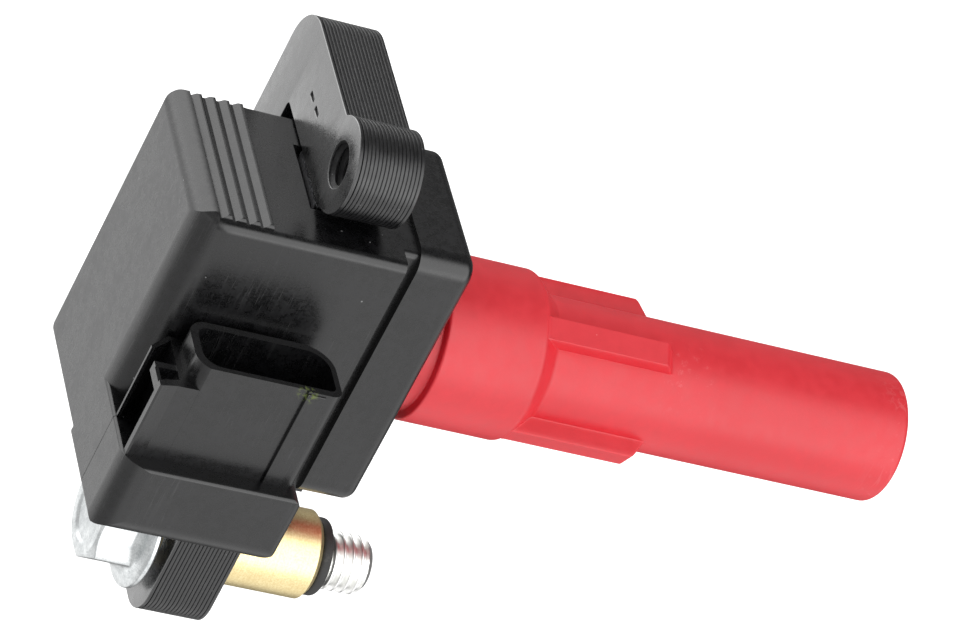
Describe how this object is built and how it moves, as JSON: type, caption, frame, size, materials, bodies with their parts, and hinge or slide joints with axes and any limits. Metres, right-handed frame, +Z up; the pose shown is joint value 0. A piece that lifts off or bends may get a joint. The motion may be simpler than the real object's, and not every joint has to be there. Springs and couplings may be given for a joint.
{
  "type": "ignition coil",
  "caption": "Coil-on-plug ignition coil with laminated core, side connector, captive mounting bolt and red spark plug boot.",
  "frame": {"origin": "centre of the boot's open end, where the spark plug goes in", "axes": "+Z up through the boot to the coil case, +X towards the ribbed side and the tapped boss, -Y towards the connector"},
  "size_m": [0.0758, 0.0496, 0.1073],
  "materials": {
    "case_plastic": "black moulded thermoplastic, fine grain",
    "bobbin_plastic": "natural moulded plastic",
    "module_epoxy": "moulded epoxy",
    "resin": "cast epoxy resin",
    "painted_laminations": "semi-gloss black paint over stacked steel sheet",
    "bare_laminations": "bare silicon steel",
    "magnet": "sintered",
    "enamelled_copper": "enamelled copper wire",
    "spreader_aluminium": "plain",
    "collar_brass": "satin turned",
    "pin_metal": "tin plated",
    "zinc_steel": "speckled bright zinc plate",
    "spring_steel": "stainless wire",
    "resistor_ceramic": "unglazed with metal caps",
    "black_rubber": "matte",
    "red_silicone": "matte silicone rubber"
  },
  "bodies": {
    "coil": {"coil_case": "case_plastic", "case_base": "case_plastic", "connector_housing": "case_plastic", "connector_pins": "pin_metal", "core_yoke": "painted_laminations", "core_centre_leg": "bare_laminations", "bias_magnet": "magnet", "primary_bobbin": "bobbin_plastic", "primary_winding": "enamelled_copper", "secondary_bobbin": "bobbin_plastic", "secondary_winding": "enamelled_copper", "primary_leads": "enamelled_copper", "igniter_module": "module_epoxy", "igniter_heat_spreader": "spreader_aluminium", "hv_lead": "enamelled_copper", "hv_terminal": "collar_brass", "suppression_resistor": "resistor_ceramic", "potting_resin": "resin", "mounting_collar": "collar_brass"},
    "bolt_seal": {"bolt_o_ring": "black_rubber"},
    "bolt": {"mounting_bolt": "zinc_steel"},
    "boot": {"plug_boot": "red_silicone", "contact_spring": "spring_steel"},
    "contact": {"plug_contact": "collar_brass"}
  },
  "joints": [
    {"name": "bolt_slide", "type": "slide", "parent": "coil", "child": "bolt_seal", "axis": [0, 0, -1], "range_m": [0, 0.0012]},
    {"name": "bolt_spin", "type": "hinge", "parent": "bolt_seal", "child": "bolt", "pos_m": [-0.0338, -0.00575, 0.08], "axis": [0, 0, 1], "continuous": true},
    {"name": "boot_slide", "type": "slide", "parent": "coil", "child": "boot", "axis": [0, 0, -1], "range_m": [0, 0.0185]},
    {"name": "contact_slide", "type": "slide", "parent": "boot", "child": "contact", "axis": [0, 0, 1], "range_m": [0, 0.004], "stiffness_N_per_m": 400, "deforming": ["contact_spring"]}
  ]
}
